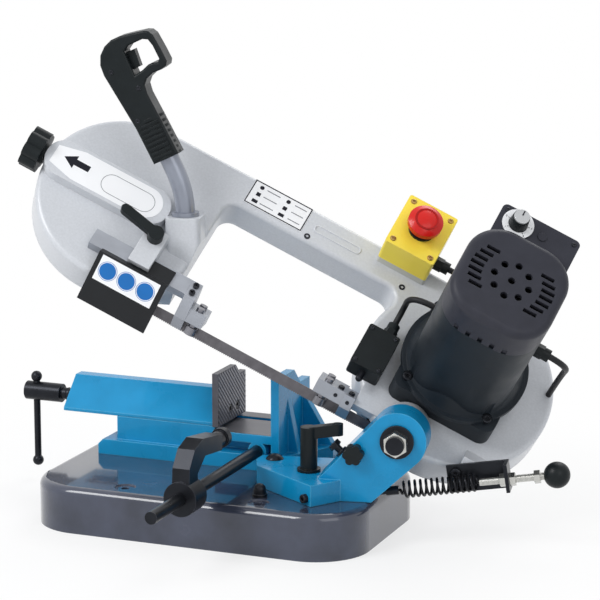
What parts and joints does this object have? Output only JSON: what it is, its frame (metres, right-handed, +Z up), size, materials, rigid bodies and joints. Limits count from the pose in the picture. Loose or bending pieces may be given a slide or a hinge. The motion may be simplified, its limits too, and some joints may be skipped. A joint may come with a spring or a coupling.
{
  "type": "portable band saw",
  "caption": "Bench-standing portable band saw: leaning bow with wheels and motor tilts on a swivelling mitre arm over a sliding screw vise on a tray base.",
  "frame": {"origin": "centre of the four bench bolt holes at the underside of the base tray", "axes": "+X from the vise handle to the motor, +Y from the cut-off side to the stock side, +Z up"},
  "size_m": [0.6886, 0.4596, 0.5488],
  "materials": {
    "base_enamel": "glossy dark slate enamel",
    "blue_paint": "bright blue gloss paint",
    "zinc": "zinc plated",
    "dark_steel": "black oxide, oiled",
    "machined_steel": "machined",
    "brass": "bearing bronze",
    "black_plastic": "moulded, satin",
    "grey_paint": "light grey paint on die casting",
    "grey_sheet": "light grey paint on sheet",
    "grey_tube": "light grey paint",
    "blade_steel": "blued band steel",
    "machined_alloy": "machined",
    "charcoal_cast": "satin charcoal paint",
    "charcoal_plastic": "satin charcoal",
    "silver_plastic": "silver knob",
    "light_plastic": "light grey",
    "yellow_plastic": "yellow",
    "red_plastic": "red",
    "black_rubber": "cable sheath",
    "spring_steel": "black spring wire",
    "black_sheet": "black paint on sheet"
  },
  "bodies": {
    "base": {"base_tray": "base_enamel", "vise_bed": "blue_paint", "bed_bolts": "zinc", "mitre_stop": "dark_steel", "swivel_bolt": "dark_steel", "stop_rod": "dark_steel"},
    "movable_jaw": {"movable_jaw": "blue_paint", "jaw_plate": "machined_steel"},
    "vise_screw": {"vise_screw": "dark_steel"},
    "tommy_bar": {"tommy_bar": "dark_steel"},
    "stop_arm": {"stop_arm": "dark_steel", "stop_tip": "dark_steel"},
    "swivel_arm": {"swivel_arm": "blue_paint", "pivot_bush": "brass", "down_stop_bolt": "zinc", "spring_anchor": "zinc", "counter_spring": "spring_steel"},
    "mitre_lever": {"mitre_lever": "black_plastic"},
    "star_knob": {"star_knob": "black_plastic"},
    "saw_head": {"bow_frame": "grey_paint", "rear_cover": "grey_sheet", "saw_blade": "blade_steel", "right_guide_block": "machined_alloy", "right_guide_bearings": "zinc", "handle_tube": "grey_tube", "handle_grip": "black_plastic", "gearbox_housing": "charcoal_cast", "motor_housing": "charcoal_cast", "motor_end_cap": "charcoal_plastic", "motor_stator": "machined_steel", "shaft_bearings": "machined_steel", "control_box": "charcoal_plastic", "estop_base": "light_plastic", "estop_lid": "yellow_plastic", "cable_glands": "black_plastic", "control_leads": "black_rubber", "limit_switch": "black_plastic", "pivot_shaft": "zinc", "pivot_washer": "zinc", "pivot_nut": "zinc", "spring_bracket": "dark_steel", "spring_adjuster": "zinc", "adjuster_nuts": "zinc", "adjuster_knob": "black_plastic"},
    "tension_slide": {"tension_slide": "machined_steel"},
    "tension_knob": {"tension_knob": "black_plastic"},
    "idler_wheel": {"idler_wheel": "machined_alloy"},
    "drive_wheel": {"drive_wheel": "machined_alloy", "drive_shaft": "machined_steel"},
    "gear_cluster": {"gear_cluster": "machined_steel"},
    "armature": {"armature": "machined_steel"},
    "left_guide": {"guide_bar": "machined_alloy", "left_guide_block": "machined_alloy", "left_guide_bearings": "zinc", "guard_plate": "black_sheet"},
    "guide_lever": {"guide_lever": "black_plastic"},
    "speed_knob": {"speed_knob": "silver_plastic"},
    "estop_button": {"estop_button": "red_plastic"},
    "trigger": {"trigger": "black_plastic"},
    "switch_plunger": {"switch_plunger": "zinc"}
  },
  "joints": [
    {"name": "jaw_slide", "type": "slide", "parent": "base", "child": "movable_jaw", "axis": [1, 0, 0], "range_m": [-0.056, 0.064]},
    {"name": "vise_screw_turn", "type": "hinge", "parent": "movable_jaw", "child": "vise_screw", "pos_m": [-0.26, 0.066, 0.107], "axis": [1, 0, 0], "range_deg": [-5041, 5761]},
    {"name": "tommy_bar_slide", "type": "slide", "parent": "vise_screw", "child": "tommy_bar", "axis": [0, 0, 1], "range_m": [0, 0.012]},
    {"name": "stop_arm_slide", "type": "slide", "parent": "base", "child": "stop_arm", "axis": [0, 1, 0], "range_m": [-0.065, 0]},
    {"name": "mitre_swivel", "type": "hinge", "parent": "base", "child": "swivel_arm", "pos_m": [0.062, -0.005, 0.064], "axis": [0, 0, 1], "range_deg": [-12, 33]},
    {"name": "mitre_lever_turn", "type": "hinge", "parent": "swivel_arm", "child": "mitre_lever", "pos_m": [0.11573, -0.03652, 0.076], "axis": [0, 0, 1], "range_deg": [-45, 15]},
    {"name": "star_knob_turn", "type": "hinge", "parent": "swivel_arm", "child": "star_knob", "pos_m": [0.17597, -0.05541, 0.107], "axis": [0.2079, -0.9781, 0], "range_deg": [-180, 180]},
    {"name": "head_tilt", "type": "hinge", "parent": "swivel_arm", "child": "saw_head", "pos_m": [0.20647, 0.02571, 0.1217], "axis": [-0.2079, 0.9781, 0], "range_deg": [-26.9, 8], "stiffness_Nm_per_rad": 60, "springref_deg": 2.62, "deforming": ["counter_spring"]},
    {"name": "tension_slide", "type": "slide", "parent": "saw_head", "child": "tension_slide", "axis": [0.8723, 0.1854, -0.4524], "range_m": [0, 0.004]},
    {"name": "tension_knob_turn", "type": "hinge", "parent": "saw_head", "child": "tension_knob", "pos_m": [-0.21098, -0.01587, 0.40493], "axis": [0.8723, 0.1854, -0.4524], "range_deg": [-961, 0]},
    {"name": "drive_spin", "type": "hinge", "parent": "saw_head", "child": "drive_wheel", "pos_m": [0.23387, 0.09929, 0.14943], "axis": [0.4599, -0.6251, 0.6306], "continuous": true},
    {"name": "idler_spin", "type": "hinge", "parent": "tension_slide", "child": "idler_wheel", "pos_m": [-0.13516, 0.02085, 0.34083], "axis": [0.4599, -0.6251, 0.6306], "continuous": true},
    {"name": "gear_cluster_spin", "type": "hinge", "parent": "saw_head", "child": "gear_cluster", "pos_m": [0.27797, 0.09763, 0.17906], "axis": [0.4599, -0.6251, 0.6306], "continuous": true},
    {"name": "armature_spin", "type": "hinge", "parent": "saw_head", "child": "armature", "pos_m": [0.29367, 0.01802, 0.2314], "axis": [0.4599, -0.6251, 0.6306], "continuous": true},
    {"name": "left_guide_slide", "type": "slide", "parent": "saw_head", "child": "left_guide", "axis": [0.8723, 0.1854, -0.4524], "range_m": [-0.012, 0.06]},
    {"name": "guide_lever_turn", "type": "hinge", "parent": "saw_head", "child": "guide_lever", "pos_m": [-0.06981, -0.03157, 0.32366], "axis": [0.4599, -0.6251, 0.6306], "range_deg": [-40, 40]},
    {"name": "speed_knob_turn", "type": "hinge", "parent": "saw_head", "child": "speed_knob", "pos_m": [0.33789, 0.00376, 0.35945], "axis": [0.4599, -0.6251, 0.6306], "range_deg": [-135, 135]},
    {"name": "estop_press", "type": "slide", "parent": "saw_head", "child": "estop_button", "axis": [-0.4599, 0.6251, -0.6306], "range_m": [0, 0.005], "stiffness_N_per_m": 600},
    {"name": "trigger_pull", "type": "slide", "parent": "saw_head", "child": "trigger", "axis": [-0.8858, -0.1883, -0.4242], "range_m": [0, 0.005], "stiffness_N_per_m": 300},
    {"name": "switch_plunger_press", "type": "slide", "parent": "saw_head", "child": "switch_plunger", "axis": [0.1659, 0.7582, 0.6306], "range_m": [0, 0.004], "stiffness_N_per_m": 300}
  ],
  "couplings": [
    {"joint": "vise_screw_turn", "follows": "jaw_slide", "rad_per_m": 1570.8},
    {"joint": "tension_knob_turn", "follows": "tension_slide", "rad_per_m": -4188.8},
    {"joint": "idler_spin", "follows": "drive_spin", "ratio": 1},
    {"joint": "gear_cluster_spin", "follows": "drive_spin", "ratio": -4.0909},
    {"joint": "armature_spin", "follows": "drive_spin", "ratio": 16.736}
  ]
}
